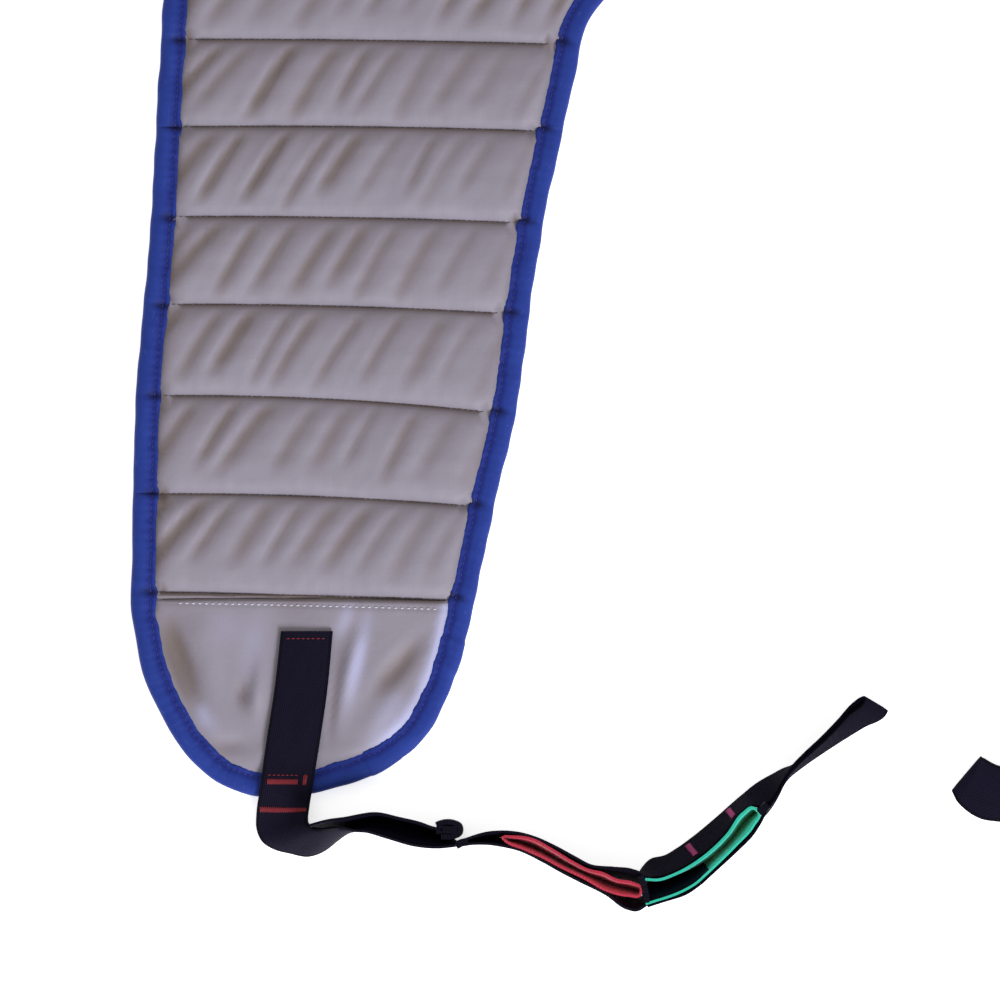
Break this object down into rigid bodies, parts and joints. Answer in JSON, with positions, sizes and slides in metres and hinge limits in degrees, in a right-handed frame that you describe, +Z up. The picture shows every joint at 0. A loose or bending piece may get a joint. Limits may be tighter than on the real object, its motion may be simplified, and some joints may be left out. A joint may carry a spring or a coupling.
{
  "type": "patient lift sling",
  "caption": "Divided-leg patient lift sling laid flat: channel-quilted pad with bound edge, head support and webbing straps of colour-coded loops.",
  "frame": {"origin": "on the flat underside, on the centre line, near the middle of the back panel", "axes": "+Z up out of the padded face as it lies flat, +Y towards the head support, +X to the right as seen from above"},
  "size_m": [1.136, 1.5257, 0.0407],
  "materials": {
    "quilt_fabric": "woven, slight sheen",
    "binding_tape": "ribbed woven tape",
    "black_webbing": "ribbed woven webbing",
    "red_webbing": "ribbed woven webbing",
    "green_webbing": "ribbed woven webbing",
    "stay_plastic": "satin"
  },
  "bodies": {
    "back": {"hip_panel": "quilt_fabric", "lower_back_panel": "quilt_fabric", "upper_back_panel": "quilt_fabric", "arch_binding": "binding_tape", "left_side_binding": "binding_tape", "right_side_binding": "binding_tape", "back_handle": "black_webbing", "left_shoulder_anchor": "black_webbing", "right_shoulder_anchor": "black_webbing"},
    "head_support": {"head_pad": "quilt_fabric", "head_binding": "binding_tape", "left_head_stay": "stay_plastic", "right_head_stay": "stay_plastic"},
    "left_thigh": {"left_leg_channel_1": "quilt_fabric", "left_leg_channel_2": "quilt_fabric", "left_leg_channel_3": "quilt_fabric", "left_leg_channel_4": "quilt_fabric", "left_thigh_outer_binding": "binding_tape", "left_thigh_inner_binding": "binding_tape"},
    "left_lower_leg": {"left_leg_channel_5": "quilt_fabric", "left_leg_channel_6": "quilt_fabric", "left_lower_outer_binding": "binding_tape", "left_lower_inner_binding": "binding_tape"},
    "left_flap": {"left_end_flap": "quilt_fabric", "left_flap_binding": "binding_tape", "left_strap_anchor": "black_webbing"},
    "left_lead": {"left_strap_lead": "black_webbing"},
    "left_red": {"left_strap_red_loop": "black_webbing", "left_strap_red_liner": "red_webbing"},
    "left_green": {"left_strap_green_loop": "black_webbing", "left_strap_green_liner": "green_webbing"},
    "left_end": {"left_strap_end_loop": "black_webbing"},
    "left_shoulder_lead": {"left_shoulder_lead": "black_webbing"},
    "left_shoulder_green": {"left_shoulder_green_loop": "black_webbing", "left_shoulder_green_liner": "green_webbing"},
    "left_shoulder_end": {"left_shoulder_end_loop": "black_webbing"},
    "right_thigh": {"right_leg_channel_1": "quilt_fabric", "right_leg_channel_2": "quilt_fabric", "right_leg_channel_3": "quilt_fabric", "right_leg_channel_4": "quilt_fabric", "right_thigh_outer_binding": "binding_tape", "right_thigh_inner_binding": "binding_tape"},
    "right_lower_leg": {"right_leg_channel_5": "quilt_fabric", "right_leg_channel_6": "quilt_fabric", "right_lower_outer_binding": "binding_tape", "right_lower_inner_binding": "binding_tape"},
    "right_flap": {"right_end_flap": "quilt_fabric", "right_flap_binding": "binding_tape", "right_strap_anchor": "black_webbing"},
    "right_lead": {"right_strap_lead": "black_webbing"},
    "right_red": {"right_strap_red_loop": "black_webbing", "right_strap_red_liner": "red_webbing"},
    "right_green": {"right_strap_green_loop": "black_webbing", "right_strap_green_liner": "green_webbing"},
    "right_end": {"right_strap_end_loop": "black_webbing"},
    "right_shoulder_lead": {"right_shoulder_lead": "black_webbing"},
    "right_shoulder_green": {"right_shoulder_green_loop": "black_webbing", "right_shoulder_green_liner": "green_webbing"},
    "right_shoulder_end": {"right_shoulder_end_loop": "black_webbing"}
  },
  "joints": [
    {"name": "head_support_fold", "type": "hinge", "parent": "back", "child": "head_support", "pos_m": [0, 0.3, 0.014], "axis": [1, 0, 0], "range_deg": [0, 60]},
    {"name": "left_hip_fold", "type": "hinge", "parent": "back", "child": "left_thigh", "pos_m": [-0.41, -0.3534, 0.014], "axis": [-0.9999, 0.0133, 0], "range_deg": [0, 90]},
    {"name": "left_knee_fold", "type": "hinge", "parent": "left_thigh", "child": "left_lower_leg", "pos_m": [-0.41, -0.6153, 0.014], "axis": [-0.9987, 0.0508, 0], "range_deg": [0, 60]},
    {"name": "left_flap_fold", "type": "hinge", "parent": "left_lower_leg", "child": "left_flap", "pos_m": [-0.41, -0.7535, 0.014], "axis": [-0.9996, 0.0271, 0], "range_deg": [0, 40]},
    {"name": "left_strap_lift", "type": "hinge", "parent": "left_flap", "child": "left_lead", "pos_m": [-0.454, -0.8995, 0.009], "axis": [-1, 0, 0], "range_deg": [0, 50]},
    {"name": "left_red_loop_swing", "type": "hinge", "parent": "left_lead", "child": "left_red", "pos_m": [-0.3298, -0.9302, 0.019], "axis": [0, 0, 1], "range_deg": [-30, 30]},
    {"name": "left_green_loop_swing", "type": "hinge", "parent": "left_red", "child": "left_green", "pos_m": [-0.196, -0.9665, 0.019], "axis": [0, 0, 1], "range_deg": [-30, 30]},
    {"name": "left_end_loop_swing", "type": "hinge", "parent": "left_green", "child": "left_end", "pos_m": [-0.1125, -0.899, 0.019], "axis": [0, 0, 1], "range_deg": [-30, 30]},
    {"name": "left_shoulder_lift", "type": "hinge", "parent": "back", "child": "left_shoulder_lead", "pos_m": [-0.366, 0.262, 0.017], "axis": [0.9143, 0.4051, 0], "range_deg": [0, 70]},
    {"name": "left_shoulder_green_loop_swing", "type": "hinge", "parent": "left_shoulder_lead", "child": "left_shoulder_green", "pos_m": [-0.37977, 0.29308, 0.019], "axis": [0, 0, -1], "range_deg": [-30, 30]},
    {"name": "left_shoulder_end_loop_swing", "type": "hinge", "parent": "left_shoulder_green", "child": "left_shoulder_end", "pos_m": [-0.39507, 0.40399, 0.019], "axis": [0, 0, -1], "range_deg": [-30, 30]},
    {"name": "right_hip_fold", "type": "hinge", "parent": "back", "child": "right_thigh", "pos_m": [0.41, -0.3534, 0.014], "axis": [-0.9999, -0.0133, 0], "range_deg": [0, 90]},
    {"name": "right_knee_fold", "type": "hinge", "parent": "right_thigh", "child": "right_lower_leg", "pos_m": [0.41, -0.6153, 0.014], "axis": [-0.9987, -0.0508, 0], "range_deg": [0, 60]},
    {"name": "right_flap_fold", "type": "hinge", "parent": "right_lower_leg", "child": "right_flap", "pos_m": [0.41, -0.7535, 0.014], "axis": [-0.9996, -0.0271, 0], "range_deg": [0, 40]},
    {"name": "right_strap_lift", "type": "hinge", "parent": "right_flap", "child": "right_lead", "pos_m": [0.454, -0.8995, 0.009], "axis": [-1, 0, 0], "range_deg": [0, 50]},
    {"name": "right_red_loop_swing", "type": "hinge", "parent": "right_lead", "child": "right_red", "pos_m": [0.349, -0.9726, 0.019], "axis": [0, 0, -1], "range_deg": [-30, 30]},
    {"name": "right_green_loop_swing", "type": "hinge", "parent": "right_red", "child": "right_green", "pos_m": [0.2104, -0.976, 0.019], "axis": [0, 0, -1], "range_deg": [-30, 30]},
    {"name": "right_end_loop_swing", "type": "hinge", "parent": "right_green", "child": "right_end", "pos_m": [0.1355, -0.8985, 0.019], "axis": [0, 0, -1], "range_deg": [-30, 30]},
    {"name": "right_shoulder_lift", "type": "hinge", "parent": "back", "child": "right_shoulder_lead", "pos_m": [0.366, 0.262, 0.017], "axis": [0.9143, -0.4051, 0], "range_deg": [0, 70]},
    {"name": "right_shoulder_green_loop_swing", "type": "hinge", "parent": "right_shoulder_lead", "child": "right_shoulder_green", "pos_m": [0.37977, 0.29308, 0.019], "axis": [0, 0, 1], "range_deg": [-30, 30]},
    {"name": "right_shoulder_end_loop_swing", "type": "hinge", "parent": "right_shoulder_green", "child": "right_shoulder_end", "pos_m": [0.39507, 0.40399, 0.019], "axis": [0, 0, 1], "range_deg": [-30, 30]}
  ]
}
